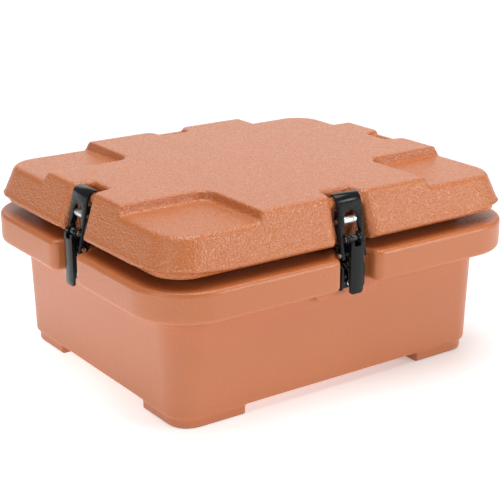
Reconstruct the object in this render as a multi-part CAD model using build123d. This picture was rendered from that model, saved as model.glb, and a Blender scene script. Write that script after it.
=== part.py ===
from build123d import *
import math
import os

# Insulated food carrier: a top-loading, double-walled polyethylene box for one half-size pan,
# with a loose lid held by two over-centre draw latches. Millimetres, +Z up, origin on the
# ground under the middle of the box. +X runs along the long side, -Y is the front.

# ---- driving dimensions: box ----
LENGTH = 420.0
WIDTH = 357.0
RIM_BOTTOM = 112.0
RIM_TOP = 142.0
RIM_CORNER = 58.0
RIM_EDGE_RADIUS = 3.5
FOOT_HEIGHT = 10.6
FOOT_INSET = 34.5
FOOT_CORNER = 21.0
FOOT_INNER_X = 105.0
FOOT_INNER_Y = 79.0
WALL_INSET_TOP = 26.0
WALL_INSET_BOTTOM = 31.3
WALL_CORNER_TOP = 34.0
WALL_CORNER_BOTTOM = 24.0
SKIN = 3.2

# ---- driving dimensions: pan well (half-size pan, 325 x 265 x 100) ----
PAN_LENGTH = 325.0
PAN_WIDTH = 265.0
PAN_DEPTH = 100.0
LEDGE_DROP = 5.0
LEDGE_WIDTH = 10.0
WELL_CORNER = 34.0
WELL_DRAFT = 3.0
WELL_FLOOR = RIM_TOP - LEDGE_DROP - PAN_DEPTH - 3.0

# ---- driving dimensions: lid ----
LID_EDGE = 154.0
LID_LIP_TOP = 159.5
PAD_LEVEL = 187.0
LID_TOP = 195.8
LID_INSET = 7.8
LIP_STEP = 1.5
LID_SLOPE = 20.0
LID_CORNER = 35.0
LID_CORNER_TOP = 30.0
PAD_EDGE_RADIUS = 7.0
ARM_EDGE_RADIUS = 4.0
CORNER_LIFT_START = 220.0
CORNER_LIFT_ANGLE = 9.0
CORNER_LIFT_SIZE = (80.0, 180.0, 20.0)
INNER_LIP_INSET = 13.5
INNER_LIP_BOTTOM = 150.3
ARM_HALF_X = 98.0
ARM_HALF_Y = 72.0
PAD_STEP_SLOPE = 18.0
PAD_CORNER = 4.0
SEAT_CORNER = 36.0
SEAT_GAP = 0.3
SEAT_INSET = 36.0
PLUG_DEPTH = 3.0

# ---- driving dimensions: latch stations ----
# "depth" is measured inwards from the outer face of the rim.
BOSS_DEPTH = 19.0
BOSS_HALF = 38.0
BOSS_BOTTOM = 98.0
NOTCH_HALF = 19.0
NOTCH_FLARE = 8.0
NOTCH_ROUND = 8.0
MOUTH_REACH = 45.0
RECESS_DEPTH = 27.0
RECESS_HALF = 17.6
RECESS_FLARE = 12.0
RECESS_ROUND = 9.0
POCKET_DEPTH = 42.0
POCKET_HALF = 14.4
POCKET_FLOOR = 184.0
KEEPER_DEPTH = 28.0
KEEPER_LEVEL = 187.6
KEEPER_RADIUS = 4.9
KEEPER_WALL = 33.0

# ---- driving dimensions: latch ----
LEVER_PIVOT = (12.4, 155.7)
HOOK_PIVOT = (14.2, 141.0)
LEVER_HALF = 7.4
LEVER_FACE = 5.9
LEVER_BOTTOM = 104.0
LEVER_TOP = 152.0
LEVER_CORNER = 3.5
LEVER_CHEEK = 2.2
LEVER_SHEET = 2.4
EAR_IN = 7.8
EAR_OUT = 9.6
EAR_BOTTOM = 139.0
EAR_TOP = 160.0
HOOK_HALF = 14.0
HOOK_SHEET = 2.0
HOOK_LEG = 3.5
HOOK_ARCH_HALF = 7.6
HOOK_ARCH_LEVEL = 174.0
HOOK_ARCH_FLARE = (161.0, 168.0)
HOOK_ROLL_IN = 6.0
HOOK_ROLL_OUT = 8.0
HOOK_ROLL_END = 70.0
HOOK_ROLL_STEPS = 6
HOOK_FOOT_FACE = 10.5
PIN_RADIUS = 1.5
PIN_FIT = 0.05
PLATE_FACE = 17.0
PLATE_BOTTOM = 107.0
PLATE_TOP = 149.0
PLATE_HALF = 11.4
PLATE_NECK = 137.0
LUG_OUT = 15.8
LUG_LEVEL = 144.5
LUG_SHEET = 1.8
LUG_DEPTH = 24.5
ROLLER_DEPTH = 20.7
ROLLER_LEVEL = 171.5
ROLLER_RADIUS = 3.6
ROLLER_END = 7.3
ROLLER_SPLIT = 3.8
SCREW_LEVELS = (112.5, 131.0)
SCREW_RADIUS = 2.0
SCREW_HEAD = 3.6
INSERT_RADIUS = 3.4
INSERT_LENGTH = 12.0

# Where each latch stands: local x runs along the side, local y runs inwards from the rim face.
STATIONS = {
    "front": Pos(0, -WIDTH / 2, 0),
    "left": Pos(-LENGTH / 2, 0, 0) * Rot(0, 0, -90),
}
LID_STATIONS = {
    "front": Pos(0, -WIDTH / 2, 0),
    "left": Pos(-LENGTH / 2, 0, 0) * Rot(0, 0, -90),
    "back": Pos(0, WIDTH / 2, 0) * Rot(0, 0, 180),
    "right": Pos(LENGTH / 2, 0, 0) * Rot(0, 0, 90),
}


def block(length, width, radius, bottom, top, taper=0.0):
    """A rounded rectangular block, drawn in by the taper angle as it rises."""
    outline = Pos(0, 0, bottom) * RectangleRounded(length, width, radius)
    return extrude(outline, amount=top - bottom, taper=taper)


def side_prism(points, half_width):
    """A prism across a latch station from its (depth, level) outline."""
    outline = Plane.YZ * make_face(Polyline(*points, close=True))
    return extrude(outline, amount=half_width, both=True)


def station_box(half_width, depth_from, depth_to, bottom, top):
    """A box at a latch station, between two depths and two levels."""
    middle = Pos(0, (depth_from + depth_to) / 2, (bottom + top) / 2)
    return middle * Box(2 * half_width, depth_to - depth_from, top - bottom)


def cross_pin(place, radius, start, end):
    """A round bar along the side, at a (depth, level) place."""
    bar = Cylinder(radius, end - start)
    return Pos((start + end) / 2, place[0], place[1]) * Rot(0, 90, 0) * bar


def inward_pin(level, radius, depth_from, depth_to, x=0.0):
    """A round bar running inwards from the rim face."""
    bar = Cylinder(radius, depth_to - depth_from)
    return Pos(x, (depth_from + depth_to) / 2, level) * Rot(90, 0, 0) * bar


def round_mouth(shape, places, radius):
    """Rounds the upright outer edges of the cuts that the latches stand in."""
    for place in places:
        edges = []
        for edge in shape.edges():
            middle = edge.center()
            spot = (place.inverse() * Pos(middle.X, middle.Y, middle.Z)).position
            upright = edge.bounding_box().size.Z > 3
            if upright and abs(spot.X) < MOUTH_REACH and spot.Y < RECESS_DEPTH - 2:
                edges.append(edge)
        shape = fillet(edges, radius)
    return shape


# ---- body ----
def wall_block(inset, bottom):
    """The tapered tub below the rim, drawn in by an extra inset and starting at a level."""
    top = RIM_BOTTOM + 4
    run = (WALL_INSET_BOTTOM - WALL_INSET_TOP) / (top - FOOT_HEIGHT)
    low_inset = inset + WALL_INSET_TOP + (top - bottom) * run
    high_inset = inset + WALL_INSET_TOP
    low = RectangleRounded(LENGTH - 2 * low_inset, WIDTH - 2 * low_inset, WALL_CORNER_BOTTOM)
    high = RectangleRounded(LENGTH - 2 * high_inset, WIDTH - 2 * high_inset, WALL_CORNER_TOP)
    return loft([Pos(0, 0, bottom) * low, Pos(0, 0, top) * high], ruled=True)


def well_block(grow, floor, top):
    """The pan well, drafted and enlarged by the given wall thickness."""
    length = PAN_LENGTH - 2 * LEDGE_WIDTH + 2 * grow
    width = PAN_WIDTH - 2 * LEDGE_WIDTH + 2 * grow
    shrink = (top - floor) * math.tan(math.radians(WELL_DRAFT))
    low = RectangleRounded(length - 2 * shrink, width - 2 * shrink, WELL_CORNER + grow / 2)
    return extrude(Pos(0, 0, floor) * low, amount=top - floor, taper=-WELL_DRAFT)


def feet():
    """Four moulded corner feet, each a quarter of a rounded block."""
    pads = block(LENGTH - 2 * FOOT_INSET, WIDTH - 2 * FOOT_INSET, FOOT_CORNER, 0, FOOT_HEIGHT + 3)
    pads = fillet(pads.faces().sort_by(Axis.Z)[0].edges(), 1.5)
    cross = Box(2 * FOOT_INNER_X, WIDTH, 60) + Box(LENGTH, 2 * FOOT_INNER_Y, 60)
    return pads - cross


def body_outside():
    rim = block(LENGTH, WIDTH, RIM_CORNER, RIM_BOTTOM, RIM_TOP)
    for place in STATIONS.values():
        rim -= place * latch_notch()
    rim = round_mouth(rim, STATIONS.values(), NOTCH_ROUND)
    rim = fillet(rim.faces().sort_by(Axis.Z)[0].edges(), RIM_EDGE_RADIUS)
    rim = fillet(rim.faces().sort_by(Axis.Z)[-1].edges(), RIM_EDGE_RADIUS)
    wall = wall_block(0, FOOT_HEIGHT)
    wall = fillet(wall.faces().sort_by(Axis.Z)[0].edges(), 1.5)
    return rim + wall + feet()


def mouth_cut(half, depth, flare, bottom, top):
    """An upright cut into a side, as wide as given at its back and flared to the outside."""
    reach = depth + 4
    wide = half + reach * math.tan(math.radians(flare))
    plan = make_face(Polyline((-half, depth), (half, depth), (wide, depth - reach),
                              (-wide, depth - reach), close=True))
    return extrude(Pos(0, 0, bottom) * plan, amount=top - bottom)


def latch_notch():
    """The gap in the rim that a latch stands in."""
    return mouth_cut(NOTCH_HALF, BOSS_DEPTH, NOTCH_FLARE, RIM_BOTTOM - 20, RIM_TOP + 20)


def latch_boss():
    """The thick pad on the wall that carries a latch."""
    height = RIM_BOTTOM + 6 - BOSS_BOTTOM
    face = Plane.XZ * Pos(0, BOSS_BOTTOM + height / 2) * RectangleRounded(2 * BOSS_HALF, height, 8)
    pad = extrude(Pos(0, BOSS_DEPTH + 16, 0) * face, amount=16)
    return fillet(pad.faces().sort_by(Axis.Y)[0].edges(), 3)


def insert_holes():
    holes = [inward_pin(level, INSERT_RADIUS, BOSS_DEPTH - 1, BOSS_DEPTH + INSERT_LENGTH)
             for level in SCREW_LEVELS]
    return holes[0] + holes[1]


def drain_dimple():
    """The shallow mould dimple under each latch."""
    return Pos(0, BOSS_DEPTH, 101) * Sphere(1.3)


def body_void(gap):
    """The insulated space between the two skins, reduced all round by a gap."""
    skin = SKIN + gap
    room = wall_block(skin, FOOT_HEIGHT + skin)
    rim_inset = BOSS_DEPTH + skin + 5
    room += block(LENGTH - 2 * rim_inset, WIDTH - 2 * rim_inset, RIM_CORNER - 24, RIM_BOTTOM - 2,
                  RIM_TOP - LEDGE_DROP - skin)
    room -= well_block(skin, WELL_FLOOR - skin, RIM_TOP + 1)
    insert_end = BOSS_DEPTH + INSERT_LENGTH
    for place in STATIONS.values():
        for level in SCREW_LEVELS:
            room -= place * inward_pin(level, INSERT_RADIUS + 3 + gap, 10, insert_end + 3 + gap)
    return room


def make_body_shell():
    shell = body_outside()
    for place in STATIONS.values():
        shell += place * latch_boss()
    shell -= block(PAN_LENGTH + 3, PAN_WIDTH + 3, WELL_CORNER + 8, RIM_TOP - LEDGE_DROP, RIM_TOP + 5)
    shell -= well_block(0, WELL_FLOOR, RIM_TOP + 1)
    shell -= body_void(0)
    for place in STATIONS.values():
        shell -= place * insert_holes()
        shell -= place * drain_dimple()
    return shell


# ---- lid ----
def lid_side_inset(level):
    """How far the sloping side of the lid has drawn in from the rim face at a level."""
    return LID_INSET + LIP_STEP + (level - LID_LIP_TOP) * math.tan(math.radians(LID_SLOPE))


def lid_block(bottom, top, edge_radius):
    """The sloping upper part of the lid between two levels, with its top edge rounded."""
    share = (top - LID_LIP_TOP) / (LID_TOP - LID_LIP_TOP)
    low = 2 * lid_side_inset(bottom)
    high = 2 * lid_side_inset(top)
    corner = LID_CORNER + share * (LID_CORNER_TOP - LID_CORNER)
    wide = RectangleRounded(LENGTH - low, WIDTH - low, LID_CORNER)
    narrow = RectangleRounded(LENGTH - high, WIDTH - high, corner)
    dome = loft([Pos(0, 0, bottom) * wide, Pos(0, 0, top) * narrow], ruled=True)
    for place in LID_STATIONS.values():
        dome -= place * latch_recess()
    dome = round_mouth(dome, LID_STATIONS.values(), RECESS_ROUND)
    return fillet(dome.faces().sort_by(Axis.Z)[-1].edges(), edge_radius)


def corner_pads(grow, bottom):
    """The space over the four lowered corners of the lid, where a stacked carrier's feet stand."""
    shrink = (PAD_LEVEL - bottom) * math.tan(math.radians(PAD_STEP_SLOPE))
    spread_x = LENGTH / 2 - ARM_HALF_X + grow - shrink
    spread_y = WIDTH / 2 - ARM_HALF_Y + grow - shrink
    outline = RectangleRounded(2 * spread_x, 2 * spread_y, PAD_CORNER)
    cutter = extrude(Pos(0, 0, bottom) * outline, amount=LID_TOP + 6 - bottom,
                     taper=-PAD_STEP_SLOPE)
    pads = [Pos(side_x * LENGTH / 2, side_y * WIDTH / 2, 0) * cutter
            for side_x in (-1, 1) for side_y in (-1, 1)]
    return pads[0] + pads[1] + pads[2] + pads[3]


def corner_lift():
    """The space under the lid edge, which curls up a little towards each corner."""
    wedge = Pos(CORNER_LIFT_START, 0, LID_EDGE) * Rot(0, -CORNER_LIFT_ANGLE, 0)
    reach, breadth, height = CORNER_LIFT_SIZE
    wedge = wedge * Pos(reach / 2, 0, -height / 2) * Box(reach, breadth, height)
    lifts = [Rot(0, 0, heading) * wedge for heading in (45, 135, 225, 315)]
    return lifts[0] + lifts[1] + lifts[2] + lifts[3]


def latch_recess():
    """The cut in the side of the lid where the hook of a latch lies, as deep as its pocket."""
    return mouth_cut(POCKET_HALF, POCKET_DEPTH, RECESS_FLARE, LID_EDGE - 12, LID_TOP + 10)


def keeper():
    """The wall behind the recess, and the rounded bead on it that the hook pulls down on."""
    half = RECESS_HALF + SKIN
    bead = cross_pin((KEEPER_DEPTH, KEEPER_LEVEL), KEEPER_RADIUS, -half, half)
    wall = station_box(half, RECESS_DEPTH, KEEPER_WALL, POCKET_FLOOR - 4, KEEPER_LEVEL)
    backing = station_box(half, RECESS_DEPTH, POCKET_DEPTH + 1, INNER_LIP_BOTTOM, POCKET_FLOOR)
    return bead + wall + backing


def make_lid_core(gap):
    """The insulated space inside the lid, reduced all round by a gap."""
    skin = SKIN + gap
    inset = lid_side_inset(LID_LIP_TOP) + skin + 1
    core = block(LENGTH - 2 * inset, WIDTH - 2 * inset, LID_CORNER - 4, LID_LIP_TOP + gap,
                 LID_TOP - skin, LID_SLOPE)
    core -= corner_pads(skin, PAD_LEVEL - skin)
    inset = INNER_LIP_INSET + skin + 2
    core += block(LENGTH - 2 * inset, WIDTH - 2 * inset, LID_CORNER - 6, INNER_LIP_BOTTOM + skin,
                  LID_LIP_TOP + gap + 1)
    inset = SEAT_INSET + skin
    core += block(LENGTH - 2 * inset, WIDTH - 2 * inset, SEAT_CORNER, RIM_TOP + SEAT_GAP + skin,
                  LID_LIP_TOP + gap + 1)
    clear = RECESS_HALF + skin
    for place in LID_STATIONS.values():
        core -= place * station_box(clear, -5, POCKET_DEPTH + skin, 100, 220)
        core -= place * station_box(clear + RECESS_ROUND + 3, -5, RECESS_DEPTH, 100, 220)
    return core


def make_lid_shell():
    lip_inset = 2 * LID_INSET
    lip = block(LENGTH - lip_inset, WIDTH - lip_inset, LID_CORNER + 1, LID_EDGE, LID_LIP_TOP)
    for place in LID_STATIONS.values():
        lip -= place * latch_recess()
    lip = round_mouth(lip, LID_STATIONS.values(), RECESS_ROUND)
    lip = fillet(lip.faces().sort_by(Axis.Z)[-1].edges(), LIP_STEP - 0.1)
    cross = lid_block(LID_LIP_TOP - 0.5, LID_TOP, ARM_EDGE_RADIUS)
    cross -= corner_pads(0, LID_LIP_TOP)
    pads = lid_block(LID_LIP_TOP - 0.5, PAD_LEVEL, PAD_EDGE_RADIUS)
    shell = lip + pads + cross - corner_lift()
    lip_length = LENGTH - 2 * INNER_LIP_INSET
    lip_width = WIDTH - 2 * INNER_LIP_INSET
    inner = block(lip_length, lip_width, LID_CORNER - 4, INNER_LIP_BOTTOM, LID_LIP_TOP + 1)
    for place in LID_STATIONS.values():
        inner -= place * latch_recess()
    shell += inner
    for place in LID_STATIONS.values():
        shell += place * keeper()
    shell += block(LENGTH - 2 * SEAT_INSET, WIDTH - 2 * SEAT_INSET, SEAT_CORNER,
                   RIM_TOP + SEAT_GAP, INNER_LIP_BOTTOM + 2)
    shell += block(PAN_LENGTH - 4, PAN_WIDTH - 4, WELL_CORNER, RIM_TOP - PLUG_DEPTH, RIM_TOP + 2)
    shell -= make_lid_core(0)
    return shell


# ---- latch pieces, in station coordinates ----
def hook_face(level):
    """Depth of the outer face of the hook at a level."""
    top_depth, top_level = hook_roll_start()
    share = (level - HOOK_PIVOT[1]) / (top_level - HOOK_PIVOT[1])
    return HOOK_FOOT_FACE + share * (top_depth - HOOK_FOOT_FACE)


def hook_roll_start():
    """The point where the flat face of the hook runs into its rolled top."""
    dx = KEEPER_DEPTH - HOOK_FOOT_FACE
    dz = KEEPER_LEVEL - HOOK_PIVOT[1]
    distance = math.hypot(dx, dz)
    angle = math.atan2(dz, dx) + math.asin(HOOK_ROLL_OUT / distance)
    length = math.sqrt(distance ** 2 - HOOK_ROLL_OUT ** 2)
    return (HOOK_FOOT_FACE + length * math.cos(angle), HOOK_PIVOT[1] + length * math.sin(angle))


def make_latch_base():
    plate_outline = [(-PLATE_HALF, PLATE_BOTTOM), (PLATE_HALF, PLATE_BOTTOM),
                     (PLATE_HALF, PLATE_NECK), (LUG_OUT, LUG_LEVEL), (LUG_OUT, PLATE_TOP),
                     (-LUG_OUT, PLATE_TOP), (-LUG_OUT, LUG_LEVEL), (-PLATE_HALF, PLATE_NECK)]
    face = Plane.XZ * make_face(Polyline(*plate_outline, close=True))
    base = extrude(Pos(0, BOSS_DEPTH, 0) * face, amount=BOSS_DEPTH - PLATE_FACE)
    rail_outline = [(BOSS_DEPTH, PLATE_BOTTOM), (12.5, PLATE_BOTTOM), (11, PLATE_BOTTOM + 3),
                    (11, 129), (BOSS_DEPTH, 135)]
    rail = side_prism(rail_outline, 1.0)
    nose = LEVER_PIVOT[0] - 4
    ear_outline = [(PLATE_FACE, EAR_BOTTOM), (PLATE_FACE - 0.6, EAR_BOTTOM), (PLATE_FACE - 1.2, 148),
                   (nose, 153.5), (nose, 157.5), (LEVER_PIVOT[0], EAR_TOP), (PLATE_FACE, EAR_TOP)]
    ear_sheet = EAR_OUT - EAR_IN
    ear = side_prism(ear_outline, ear_sheet / 2)
    strut = station_box(ear_sheet / 2, PLATE_FACE - 1, BOSS_DEPTH, EAR_BOTTOM, EAR_TOP)
    lug_outline = [(PLATE_FACE, LUG_LEVEL), (PLATE_FACE, PLATE_TOP), (LUG_DEPTH, PLATE_TOP - 1),
                   (LUG_DEPTH - 1, LUG_LEVEL + 1)]
    lug = side_prism(lug_outline, LUG_SHEET / 2)
    for side in (-1, 1):
        base += Pos(side * (PLATE_HALF + 1.0), 0, 0) * rail
        base += Pos(side * (EAR_IN + EAR_OUT) / 2, 0, 0) * (ear + strut)
        base += Pos(side * (LUG_OUT - LUG_SHEET / 2), 0, 0) * lug
    base -= cross_pin(LEVER_PIVOT, PIN_RADIUS, -20, 20)
    for level in SCREW_LEVELS:
        base -= inward_pin(level, SCREW_RADIUS + 0.2, 10, 25)
    return base


def make_lever():
    plate = RectangleRounded(2 * LEVER_HALF, LEVER_TOP - LEVER_BOTTOM, LEVER_CORNER)
    front = Plane.XZ * Pos(0, (LEVER_BOTTOM + LEVER_TOP) / 2) * plate
    lever = extrude(Pos(0, LEVER_FACE + LEVER_SHEET, 0) * front, amount=LEVER_SHEET)
    cheek_outline = [(LEVER_FACE + 1, 112), (LEVER_FACE + 1, 150), (9.2, 158.4), (12.4, 159.8),
                     (15.6, 158.2), (16.5, 155), (16.5, 139), (14.2, 137.6), (11.5, 138.5),
                     (9.5, 128), (9.0, 112)]
    cheek = side_prism(cheek_outline, LEVER_CHEEK / 2)
    knuckle = cross_pin(LEVER_PIVOT, 4.1, -LEVER_HALF, LEVER_HALF)
    web = station_box(LEVER_HALF, LEVER_FACE + 0.2, 10.2, 146, 154.5)
    lever += knuckle + web
    for side in (-1, 1):
        lever += Pos(side * (LEVER_HALF - LEVER_CHEEK / 2), 0, 0) * cheek
    lever -= station_box(3.6, 0, 20, 149.7, 170)
    lever -= cross_pin(LEVER_PIVOT, PIN_RADIUS + PIN_FIT, -20, 20)
    lever -= cross_pin(HOOK_PIVOT, PIN_RADIUS, -20, 20)
    return lever


def make_hook():
    roll_depth, roll_level = hook_roll_start()
    lean = math.atan2(roll_depth - HOOK_FOOT_FACE, roll_level - HOOK_PIVOT[1])
    inward = (HOOK_SHEET * math.cos(lean), -HOOK_SHEET * math.sin(lean))
    foot = HOOK_PIVOT[1] - 3
    outline = [(hook_face(foot), foot), (roll_depth, roll_level),
               (roll_depth + inward[0], roll_level + inward[1]),
               (hook_face(foot) + inward[0], foot)]
    sheet = side_prism(outline, HOOK_HALF)
    start = math.degrees(math.atan2(roll_level - KEEPER_LEVEL, roll_depth - KEEPER_DEPTH))
    ring = cross_pin((KEEPER_DEPTH, KEEPER_LEVEL), HOOK_ROLL_OUT, -HOOK_HALF, HOOK_HALF)
    ring -= cross_pin((KEEPER_DEPTH, KEEPER_LEVEL), HOOK_ROLL_IN, -20, 20)
    fan = [(KEEPER_DEPTH, KEEPER_LEVEL)]
    reach = 3 * HOOK_ROLL_OUT
    for step in range(HOOK_ROLL_STEPS + 1):
        share = step / HOOK_ROLL_STEPS
        angle = math.radians(start + (HOOK_ROLL_END - start) * share)
        fan.append((KEEPER_DEPTH + reach * math.cos(angle), KEEPER_LEVEL + reach * math.sin(angle)))
    hook = sheet + (ring & side_prism(fan, HOOK_HALF))
    foot_half = HOOK_HALF - HOOK_LEG
    flare_low, flare_high = HOOK_ARCH_FLARE
    below = 120
    right = [(foot_half, below), (foot_half, flare_low), (HOOK_ARCH_HALF, flare_high),
             (HOOK_ARCH_HALF, HOOK_ARCH_LEVEL)]
    left = [(-x, level) for x, level in reversed(right)]
    opening = make_face(Polyline(*(right + left), close=True))
    window = Plane.XZ * (opening + Pos(0, HOOK_ARCH_LEVEL) * Circle(HOOK_ARCH_HALF))
    hook -= extrude(Pos(0, 40, 0) * window, amount=45)
    cheek_outline = [(hook_face(137) + 0.3, 137.5), (hook_face(181), 181),
                     (hook_face(181) + 5, 181), (24.4, 172), (22.5, 163), (16.6, 151),
                     (16.6, 139.5), (15, 137.8)]
    cheek = side_prism(cheek_outline, HOOK_SHEET / 2)
    for side in (-1, 1):
        hook += Pos(side * (HOOK_HALF - HOOK_SHEET / 2), 0, 0) * cheek
    hook -= cross_pin(HOOK_PIVOT, PIN_RADIUS + PIN_FIT, -20, 20)
    hook -= cross_pin((ROLLER_DEPTH, ROLLER_LEVEL), PIN_RADIUS, -20, 20)
    return hook


def make_lever_pin():
    pin = cross_pin(LEVER_PIVOT, PIN_RADIUS, -EAR_OUT - 0.6, EAR_OUT + 0.6)
    for side in (-1, 1):
        inner, outer = sorted((side * EAR_OUT, side * (EAR_OUT + 0.6)))
        pin += cross_pin(LEVER_PIVOT, 2.6, inner, outer)
    return pin


def make_hook_pin():
    pin = cross_pin(HOOK_PIVOT, PIN_RADIUS, -HOOK_HALF - 1.2, HOOK_HALF + 1.2)
    for side in (-1, 1):
        inner, outer = sorted((side * (HOOK_HALF + 0.1), side * (HOOK_HALF + 1.2)))
        pin += cross_pin(HOOK_PIVOT, 2.3, inner, outer)
    return pin


def make_roller_pin():
    place = (ROLLER_DEPTH, ROLLER_LEVEL)
    pin = cross_pin(place, PIN_RADIUS, -HOOK_HALF - 0.8, HOOK_HALF + 0.8)
    for side in (-1, 1):
        inner, outer = sorted((side * HOOK_HALF, side * (HOOK_HALF + 0.8)))
        pin += cross_pin(place, 2.2, inner, outer)
    return pin


def sleeve(start, end):
    """A length of the roller on the cross pin."""
    place = (ROLLER_DEPTH, ROLLER_LEVEL)
    bore = cross_pin(place, PIN_RADIUS, start - 1, end + 1)
    return cross_pin(place, ROLLER_RADIUS, start, end) - bore


def make_spring():
    """The torsion spring on the lever pin that keeps the lever from rattling."""
    wire = 0.5
    coil_radius = PIN_RADIUS + 0.4 + wire
    height = 5.6
    path = Helix(pitch=1.25, height=height, radius=coil_radius)
    section = Plane(path @ 0, z_dir=path % 0) * Circle(wire)
    coil = sweep(section, path=path, is_frenet=True)
    return Pos(-height / 2, LEVER_PIVOT[0], LEVER_PIVOT[1]) * Rot(0, 90, 0) * coil


def make_screws():
    """The two pan-head screws that hold a latch base."""
    screws = []
    for level in SCREW_LEVELS:
        shank = inward_pin(level, SCREW_RADIUS, PLATE_FACE - 0.5, BOSS_DEPTH + INSERT_LENGTH - 1)
        head = inward_pin(level, SCREW_HEAD, PLATE_FACE - 2.0, PLATE_FACE)
        head = fillet(head.faces().sort_by(Axis.Y)[0].edges(), 1.2)
        slot = Box(4.4, 1.6, 0.9) + Box(0.9, 1.6, 4.4)
        screws.append(shank + head - Pos(0, PLATE_FACE - 2.0, level) * slot)
    return Compound(children=screws)


def make_inserts():
    """The two threaded brass inserts moulded into the boss behind a latch."""
    inserts = []
    for level in SCREW_LEVELS:
        tube = inward_pin(level, INSERT_RADIUS, BOSS_DEPTH, BOSS_DEPTH + INSERT_LENGTH)
        inserts.append(tube - inward_pin(level, SCREW_RADIUS, BOSS_DEPTH - 1,
                                         BOSS_DEPTH + INSERT_LENGTH - 1))
    return Compound(children=inserts)


LATCH_PIECES = {
    "latch_base": make_latch_base,
    "lever": make_lever,
    "hook": make_hook,
    "lever_pivot_pin": make_lever_pin,
    "hook_pivot_pin": make_hook_pin,
    "cross_pin": make_roller_pin,
    "lever_spring": make_spring,
    "base_screws": make_screws,
    "threaded_inserts": make_inserts,
}


def main():
    os.makedirs("parts", exist_ok=True)
    nodes = {
        "body_shell": make_body_shell(),
        "body_foam_core": body_void(0.1),
        "lid_shell": make_lid_shell(),
        "lid_foam_core": make_lid_core(0.1),
    }
    for piece, maker in LATCH_PIECES.items():
        shape = maker()
        for side, place in STATIONS.items():
            nodes[f"{side}_{piece}"] = place * shape
    for side, place in STATIONS.items():
        nodes[f"{side}_roller"] = place * sleeve(-ROLLER_END, ROLLER_SPLIT)
        nodes[f"{side}_roller_washer"] = place * sleeve(ROLLER_SPLIT + 0.4, ROLLER_END)
    for name, shape in nodes.items():
        export_step(shape, f"parts/{name}.step")


main()
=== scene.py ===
import math

import bmesh
import bpy
import numpy as np
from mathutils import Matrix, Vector, noise


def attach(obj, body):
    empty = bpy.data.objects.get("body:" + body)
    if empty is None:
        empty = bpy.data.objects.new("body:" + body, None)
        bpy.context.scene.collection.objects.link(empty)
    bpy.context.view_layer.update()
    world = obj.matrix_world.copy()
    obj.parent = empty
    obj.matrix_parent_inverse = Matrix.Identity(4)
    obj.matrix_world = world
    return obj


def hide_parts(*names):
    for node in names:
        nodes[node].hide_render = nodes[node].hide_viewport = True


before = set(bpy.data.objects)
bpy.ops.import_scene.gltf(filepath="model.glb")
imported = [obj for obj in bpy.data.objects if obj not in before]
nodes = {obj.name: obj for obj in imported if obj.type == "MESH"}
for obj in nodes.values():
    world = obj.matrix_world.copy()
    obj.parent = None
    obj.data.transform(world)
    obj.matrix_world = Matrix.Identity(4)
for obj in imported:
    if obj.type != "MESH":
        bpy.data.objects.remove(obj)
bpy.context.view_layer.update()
MM = 0.001

# ---- looks: driving values ----
SHELL_VOXEL = 1.5 * MM          # grid for softening the moulded shells
SHELL_SOFTENING = 5             # smoothing passes, which round the moulded edges
WAVE_HEIGHT = 0.16 * MM         # slow waviness of rotomoulded walls
WAVE_LENGTH = 55 * MM
SHELL_TRIANGLES = 170000        # per shell, after thinning flat areas
SAME_PLACE = 0.002 * MM         # vertices closer than this are one
BLACK_EDGE_WIDTH = 0.35 * MM
BRIGHT_EDGE_WIDTH = 0.2 * MM

# ---- surface grain: scales are in cells per metre, heights are of the bump ----
SHEEN_ROUGHNESS = (0.25, 0.38)
CLOUD_SCALE = 9.0
SPECK_SCALE = 950.0
SHEEN_SCALE = 320.0
SWELL_SCALE = 70.0
SWELL_HEIGHT = 0.24 * MM
PEBBLE_SCALE = 500.0
PEBBLE_HEIGHT = 0.46 * MM
PORE_SCALE = 850.0
PORE_HEIGHT = 0.24 * MM
LID_GRAIN = 1.0
BODY_GRAIN = 0.3
PARTING_LEVEL = 137.8 * MM      # where the two halves of the body mould met
PARTING_HALF_WIDTH = 0.55 * MM
PARTING_HEIGHT = 0.22 * MM
COATING_SCALE = 900.0
COATING_HEIGHT = 0.04 * MM
DRAWN_LINE_SCALE = 900.0
DRAWN_LINE_STRETCH = (0.15, 1.0, 1.0)
DRAWN_LINE_HEIGHT = 0.02 * MM
FOAM_CELL_SCALE = 700.0
FOAM_CELL_HEIGHT = 0.4 * MM

# Colours are linear.
SHELL_TONE = (0.555, 0.163, 0.047)
SHELL_TONE_DEEP = (0.505, 0.138, 0.036)
SHELL_TONE_PALE = (0.640, 0.235, 0.090)
# painted shade: the dark tone that gaps and recesses are coloured towards
SHELL_TONE_SHADE = (0.200, 0.048, 0.016)
SHADE_REACH = 14 * MM           # how far off a facing wall the painted shade still darkens a gap
BLACK_TONE = (0.0030, 0.0033, 0.0036)
# painted highlight: the lighter grey of the black coating's sharp edges
BLACK_PAINTED_HIGHLIGHT = (0.030, 0.033, 0.035)
STEEL_TONE = (0.82, 0.82, 0.83)
DARK_STEEL_TONE = (0.16, 0.16, 0.17)
BRASS_TONE = (0.62, 0.42, 0.16)
FOAM_TONE = (0.80, 0.70, 0.44)
ROLLER_TONE = (0.93, 0.93, 0.93)
FLOOR_TONE = (0.86, 0.86, 0.86)

# ---- glow of the floor and the world; distances are in metres ----
FLOOR_SIZE = 40.0
FLOOR_GLOW_BASE = 0.28
FLOOR_GLOW = (0.0, 0.50)        # added close to the carrier: front right, and back left
FLOOR_GLOW_SPAN = 0.30          # from the middle to where either value is reached
FLOOR_GLOW_REACH = (0.42, 0.72)  # fades out between these distances
FLOOR_GLOW_FAR = 0.8            # added far off, so that the sweep stays white
FLOOR_FAR_REACH = (1.3, 3.0)
WORLD_GLOW = 0.15

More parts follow.
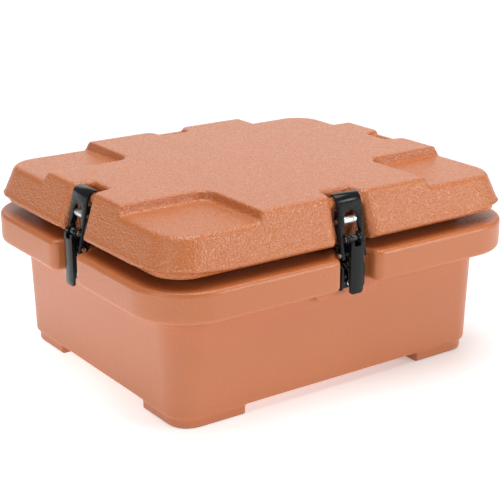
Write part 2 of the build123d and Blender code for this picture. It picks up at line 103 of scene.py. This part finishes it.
# ---- soft lights: place, what it faces, width and height, brightness of its surface ----
SOFT_BOXES = {
    "back_panel": ((1.45, 2.05, 0.95), (0, 0, 0.15), (3.6, 1.7), 0.95),
    "right": ((1.26, -1.83, 0.76), (0, 0, 0.15), (1.1, 0.6), 8.0),
    "corner": ((-1.78, -0.47, 0.74), (-0.18, -0.15, 0.15), (0.32, 0.32), 17.0),
    "overhead": ((0.1, -0.1, 2.2), (0, 0, 0.1), (2.0, 2.0), 3.75),
}

# ---- camera: where the photographer stood ----
CAMERA_AZIMUTH = math.radians(-35.22)
CAMERA_ELEVATION = math.radians(17.96)
CAMERA_DISTANCE = 1.3459
CAMERA_TARGET = Vector((0.0, 0.0, 0.110))
FOCAL_LENGTH = 95.16
AIM_RIGHT = 0.00126
AIM_UP = -0.00746


# ---------------------------------------------------------------- materials
class Nodes:
    """A short way to build one material's node tree."""

    def __init__(self, name):
        self.material = bpy.data.materials.new(name)
        self.material.use_nodes = True
        self.tree = self.material.node_tree
        self.shader = self.tree.nodes["Principled BSDF"]
        self.place = self.add("ShaderNodeTexCoord").outputs["Object"]

    def add(self, kind, **values):
        node = self.tree.nodes.new(kind)
        for key, value in values.items():
            setattr(node, key, value)
        return node

    def link(self, source, target):
        self.tree.links.new(source, target)

    def scaled(self, scale):
        """Object coordinates stretched along each axis."""
        node = self.add("ShaderNodeMapping")
        node.inputs["Scale"].default_value = scale
        self.link(self.place, node.inputs["Vector"])
        return node.outputs["Vector"]

    def noise(self, scale, detail=3.0, place=None):
        node = self.add("ShaderNodeTexNoise")
        node.inputs["Scale"].default_value = scale
        node.inputs["Detail"].default_value = detail
        self.link(place or self.place, node.inputs["Vector"])
        return node.outputs["Fac"]

    def cells(self, scale):
        """Distance from the nearest of many rounded cells' middles."""
        node = self.add("ShaderNodeTexVoronoi", feature="SMOOTH_F1")
        node.inputs["Scale"].default_value = scale
        node.inputs["Smoothness"].default_value = 0.6
        self.link(self.place, node.inputs["Vector"])
        return node.outputs["Distance"]

    def spread(self, value, low, high, out_low=0.0, out_high=1.0):
        """A value's range from low to high, stretched to another range and clamped to it."""
        node = self.add("ShaderNodeMapRange")
        node.inputs["From Min"].default_value = low
        node.inputs["From Max"].default_value = high
        node.inputs["To Min"].default_value = out_low
        node.inputs["To Max"].default_value = out_high
        self.link(value, node.inputs["Value"])
        return node.outputs["Result"]

    def math(self, operation, first, second):
        node = self.add("ShaderNodeMath", operation=operation)
        for index, value in enumerate((first, second)):
            if isinstance(value, (int, float)):
                node.inputs[index].default_value = value
            else:
                self.link(value, node.inputs[index])
        return node.outputs["Value"]

    def mix(self, factor, first, second):
        """A colour between two, each a tuple or another node's output."""
        node = self.add("ShaderNodeMix", data_type="RGBA")
        self.link(factor, node.inputs["Factor"])
        for socket, colour in ((node.inputs[6], first), (node.inputs[7], second)):
            if isinstance(colour, tuple):
                socket.default_value = (*colour, 1.0)
            else:
                self.link(colour, socket)
        return node.outputs[2]

    def bump(self, height, distance, below=None):
        node = self.add("ShaderNodeBump")
        node.inputs["Distance"].default_value = distance
        self.link(height, node.inputs["Height"])
        if below is not None:
            self.link(below, node.inputs["Normal"])
        return node.outputs["Normal"]

    def ridge(self, level):
        """1 along one level of the piece, falling to 0 just above and below it."""
        axes = self.add("ShaderNodeSeparateXYZ")
        self.link(self.place, axes.inputs["Vector"])
        drift = self.spread(self.noise(14.0, 1.0), 0.0, 1.0, -0.5 * MM, 0.5 * MM)
        away = self.math("SUBTRACT", self.math("ADD", axes.outputs["Z"], drift), level)
        return self.spread(self.math("ABSOLUTE", away, 0.0), 0.0, PARTING_HALF_WIDTH, 1.0, 0.0)

    def painted_shade(self, reach):
        """Mask for painted shade: 1 deep in gaps and recesses, 0 in the open."""
        node = self.add("ShaderNodeAmbientOcclusion", samples=16)
        node.inputs["Distance"].default_value = reach
        return self.spread(node.outputs["AO"], 0.05, 0.50, 1.0, 0.0)

    def edges(self):
        """Mask for the painted edge highlight: 1 on sharp convex edges, from the mesh's own
        curvature.
        """
        point = self.add("ShaderNodeNewGeometry").outputs["Pointiness"]
        return self.spread(point, 0.52, 0.62)

    def finish(self, colour, roughness, normal=None, **values):
        """Joins the tree to its shader and sets the shader's own values."""
        self.link(colour, self.shader.inputs["Base Color"])
        if isinstance(roughness, float):
            self.shader.inputs["Roughness"].default_value = roughness
        else:
            self.link(roughness, self.shader.inputs["Roughness"])
        if normal is not None:
            self.link(normal, self.shader.inputs["Normal"])
        for key, value in values.items():
            self.shader.inputs[key.replace("_", " ")].default_value = value
        return self.material


def moulded_plastic(name, grain, line=None):
    """Rotomoulded polyethylene: clouded colour, satin sheen, a pebbled skin and a parting line, with
    painted shade darkening its gaps and recesses.
    """
    n = Nodes(name)
    clouds = n.spread(n.noise(CLOUD_SCALE, 4.0), 0.35, 0.68)
    specks = n.spread(n.noise(SPECK_SCALE, 2.0), 0.42, 0.66)
    colour = n.mix(n.math("MULTIPLY", clouds, 0.30), SHELL_TONE, SHELL_TONE_DEEP)
    colour = n.mix(n.math("MULTIPLY", specks, 0.34 * grain), colour, SHELL_TONE_PALE)
    # painted shade: the colour darkens in gaps and recesses, where shade falls
    colour = n.mix(n.painted_shade(SHADE_REACH), colour, SHELL_TONE_SHADE)
    glossy, dull = SHEEN_ROUGHNESS
    glossiest = dull - grain * (dull - glossy)
    roughness = n.spread(n.noise(SHEEN_SCALE), 0.3, 0.7, glossiest, dull)
    swells = n.spread(n.noise(SWELL_SCALE, 2.0), 0.25, 0.75)
    normal = n.bump(swells, SWELL_HEIGHT * grain)
    away = n.cells(PEBBLE_SCALE)
    pebbles = n.spread(n.math("MULTIPLY", away, away), 0.0, 0.56, 1.0, 0.0)
    normal = n.bump(pebbles, PEBBLE_HEIGHT * grain, below=normal)
    normal = n.bump(n.noise(PORE_SCALE, 2.0), PORE_HEIGHT * grain, below=normal)
    if line is not None:
        normal = n.bump(n.ridge(line), PARTING_HEIGHT, below=normal)
    return n.finish(colour, roughness, normal, IOR=1.5, Specular_IOR_Level=0.75)


def black_coating():
    """Black coated steel, with its sharp edges lightened grey by a painted highlight."""
    n = Nodes("black_coated_steel")
    # painted highlight: sharp edges coloured lighter grey
    colour = n.mix(n.edges(), BLACK_TONE, BLACK_PAINTED_HIGHLIGHT)
    roughness = n.spread(n.noise(260.0), 0.3, 0.7, 0.14, 0.24)
    normal = n.bump(n.noise(COATING_SCALE, 2.0), COATING_HEIGHT)
    return n.finish(colour, roughness, normal, Specular_IOR_Level=0.24)


def bright_metal(name, tone, low, high):
    """Plated metal with fine drawn lines."""
    n = Nodes(name)
    lines = n.noise(DRAWN_LINE_SCALE, 2.0, place=n.scaled(DRAWN_LINE_STRETCH))
    colour = n.mix(n.spread(lines, 0.3, 0.7), tone, tuple(0.82 * part for part in tone))
    roughness = n.spread(lines, 0.3, 0.7, low, high)
    return n.finish(colour, roughness, n.bump(lines, DRAWN_LINE_HEIGHT), Metallic=1.0)


def rigid_foam():
    """Yellowish closed-cell foam."""
    n = Nodes("rigid_foam")
    bubbles = n.cells(FOAM_CELL_SCALE)
    colour = n.mix(n.spread(bubbles, 0.0, 0.8), FOAM_TONE, tuple(0.85 * part for part in FOAM_TONE))
    return n.finish(colour, 0.9, n.bump(bubbles, FOAM_CELL_HEIGHT))


def plain_floor():
    """A white sweep that also glows: close by at the back left, and far off all round."""
    n = Nodes("studio_floor")
    axes = n.add("ShaderNodeSeparateXYZ")
    n.link(n.place, axes.inputs["Vector"])
    across = n.math("SUBTRACT", axes.outputs["Y"], axes.outputs["X"])
    side = n.spread(across, -FLOOR_GLOW_SPAN, FLOOR_GLOW_SPAN, *FLOOR_GLOW)
    away = n.add("ShaderNodeVectorMath", operation="LENGTH")
    n.link(n.place, away.inputs[0])
    near = n.spread(away.outputs["Value"], *FLOOR_GLOW_REACH, 1.0, 0.0)
    far = n.spread(away.outputs["Value"], *FLOOR_FAR_REACH, FLOOR_GLOW_BASE,
                   FLOOR_GLOW_BASE + FLOOR_GLOW_FAR)
    glow = n.math("ADD", n.math("MULTIPLY", side, near), far)
    n.link(glow, n.shader.inputs["Emission Strength"])
    colour = n.mix(n.noise(3.0), FLOOR_TONE, tuple(0.99 * part for part in FLOOR_TONE))
    return n.finish(colour, 0.85, Emission_Color=(1, 1, 1, 1))


LID_PLASTIC = moulded_plastic("moulded_plastic_lid", LID_GRAIN)
BODY_PLASTIC = moulded_plastic("moulded_plastic_body", BODY_GRAIN, PARTING_LEVEL)
BLACK = black_coating()
STEEL = bright_metal("bright_steel", STEEL_TONE, 0.16, 0.30)
ROLLER_STEEL = bright_metal("roller_steel", ROLLER_TONE, 0.40, 0.50)
DARK_STEEL = bright_metal("spring_steel", DARK_STEEL_TONE, 0.30, 0.45)
BRASS = bright_metal("machined_brass", BRASS_TONE, 0.25, 0.38)
FOAM = rigid_foam()


# ---------------------------------------------------------------- mesh helpers
def set_material(obj, material):
    obj.data.materials.clear()
    obj.data.materials.append(material)


def outer_skin(node, name):
    """A copy of a CAD shell without the sealed space between its two skins."""
    mesh = nodes[node].data.copy()
    obj = bpy.data.objects.new(name, mesh)
    bpy.context.scene.collection.objects.link(obj)
    work = bmesh.new()
    work.from_mesh(mesh)
    bmesh.ops.remove_doubles(work, verts=work.verts, dist=SAME_PLACE)
    left = set(work.verts)
    groups = []
    while left:
        stack = [left.pop()]
        group = []
        while stack:
            vertex = stack.pop()
            group.append(vertex)
            for edge in vertex.link_edges:
                other = edge.other_vert(vertex)
                if other in left:
                    left.remove(other)
                    stack.append(other)
        groups.append(group)

    def reach(group):
        values = [vertex.co.x for vertex in group]
        return max(values) - min(values)

    groups.sort(key=reach)
    for group in groups[:-1]:
        bmesh.ops.delete(work, geom=group, context="VERTS")
    work.to_mesh(mesh)
    work.free()
    return obj


def bake_modifiers(obj):
    """Applies an object's modifiers to its mesh."""
    depsgraph = bpy.context.evaluated_depsgraph_get()
    mesh = bpy.data.meshes.new_from_object(obj.evaluated_get(depsgraph))
    obj.modifiers.clear()
    obj.data = mesh


def soften(obj):
    """Rounds every edge the way a rotomoulding tool does, and leaves the walls slightly wavy."""
    remesh = obj.modifiers.new("remesh", "REMESH")
    remesh.mode = "VOXEL"
    remesh.voxel_size = SHELL_VOXEL
    smooth = obj.modifiers.new("smooth", "SMOOTH")
    smooth.factor = 0.5
    smooth.iterations = SHELL_SOFTENING
    bake_modifiers(obj)
    mesh = obj.data
    count = len(mesh.vertices)
    places = np.empty(count * 3)
    normals = np.empty(count * 3)
    mesh.vertices.foreach_get("co", places)
    mesh.vertex_normals.foreach_get("vector", normals)
    places = places.reshape(-1, 3)
    normals = normals.reshape(-1, 3)
    waves = np.array([noise.noise(Vector(point) / WAVE_LENGTH) for point in places])
    places += normals * ((waves - 0.6) * WAVE_HEIGHT)[:, None]
    mesh.vertices.foreach_set("co", places.ravel())
    mesh.update()
    mesh.calc_loop_triangles()
    triangles = len(mesh.loop_triangles)
    if triangles > SHELL_TRIANGLES:
        thin = obj.modifiers.new("thin", "DECIMATE")
        thin.ratio = SHELL_TRIANGLES / triangles
        bake_modifiers(obj)
    for polygon in obj.data.polygons:
        polygon.use_smooth = True


def shell(node, name, body, material):
    """A moulded skin in place of a CAD shell, riding on its body."""
    obj = outer_skin(node, name)
    soften(obj)
    set_material(obj, material)
    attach(obj, body)
    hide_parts(node)
    return obj


def round_edges(obj, width):
    """Softens the edges of a CAD piece by modifiers, leaving its own mesh as it is."""
    weld = obj.modifiers.new("weld", "WELD")
    weld.merge_threshold = SAME_PLACE
    bevel = obj.modifiers.new("bevel", "BEVEL")
    bevel.width = width
    bevel.segments = 2
    bevel.limit_method = "ANGLE"
    bevel.angle_limit = math.radians(35)
    bevel.harden_normals = False
    for polygon in obj.data.polygons:
        polygon.use_smooth = True


# ---------------------------------------------------------------- the carrier
shell("body_shell", "carrier_body", "box", BODY_PLASTIC)
shell("lid_shell", "carrier_lid", "lid", LID_PLASTIC)

for side in ("front", "left"):
    for piece in ("latch_base", "lever", "hook"):
        set_material(nodes[f"{side}_{piece}"], BLACK)
        round_edges(nodes[f"{side}_{piece}"], BLACK_EDGE_WIDTH)
    for piece in ("base_screws", "lever_pivot_pin", "hook_pivot_pin", "cross_pin"):
        set_material(nodes[f"{side}_{piece}"], STEEL)
        round_edges(nodes[f"{side}_{piece}"], BRIGHT_EDGE_WIDTH)
    for piece in ("roller", "roller_washer"):
        set_material(nodes[f"{side}_{piece}"], ROLLER_STEEL)
        round_edges(nodes[f"{side}_{piece}"], BRIGHT_EDGE_WIDTH)
    set_material(nodes[f"{side}_lever_spring"], DARK_STEEL)
    set_material(nodes[f"{side}_threaded_inserts"], BRASS)
for core in ("body_foam_core", "lid_foam_core"):
    set_material(nodes[core], FOAM)


# ---------------------------------------------------------------- studio
def soft_box(name, place, target, size, brightness):
    """An evenly bright rectangular light."""
    data = bpy.data.lights.new(name, "AREA")
    data.shape = "RECTANGLE"
    data.size = size[0]
    data.size_y = size[1]
    data.energy = brightness * math.pi * size[0] * size[1]
    lamp = bpy.data.objects.new(name, data)
    bpy.context.scene.collection.objects.link(lamp)
    lamp.location = place
    lamp.rotation_euler = (Vector(target) - Vector(place)).to_track_quat("-Z", "Y").to_euler()


def make_floor():
    bpy.ops.mesh.primitive_plane_add(size=FLOOR_SIZE, location=(0, 0, 0))
    floor = bpy.context.object
    floor.name = "studio_floor"
    set_material(floor, plain_floor())


def make_camera():
    azimuth, elevation = CAMERA_AZIMUTH, CAMERA_ELEVATION
    back = Vector((math.sin(azimuth) * math.cos(elevation), -math.cos(azimuth) * math.cos(elevation),
                   math.sin(elevation)))
    right = Vector((math.cos(azimuth), math.sin(azimuth), 0))
    up = right.cross(-back)
    data = bpy.data.cameras.new("camera")
    data.lens = FOCAL_LENGTH
    camera = bpy.data.objects.new("camera", data)
    bpy.context.scene.collection.objects.link(camera)
    camera.location = CAMERA_TARGET + back * CAMERA_DISTANCE
    aim = -back + right * AIM_RIGHT + up * AIM_UP
    camera.rotation_euler = aim.to_track_quat("-Z", "Y").to_euler()
    bpy.context.scene.camera = camera


def make_world():
    world = bpy.data.worlds.new("studio")
    bpy.context.scene.world = world
    world.use_nodes = True
    background = world.node_tree.nodes["Background"]
    background.inputs["Color"].default_value = (1, 1, 1, 1)
    background.inputs["Strength"].default_value = WORLD_GLOW


make_floor()
make_camera()
make_world()
for name, (place, target, size, brightness) in SOFT_BOXES.items():
    soft_box(name, place, target, size, brightness)
bpy.context.scene.view_settings.view_transform = "Standard"
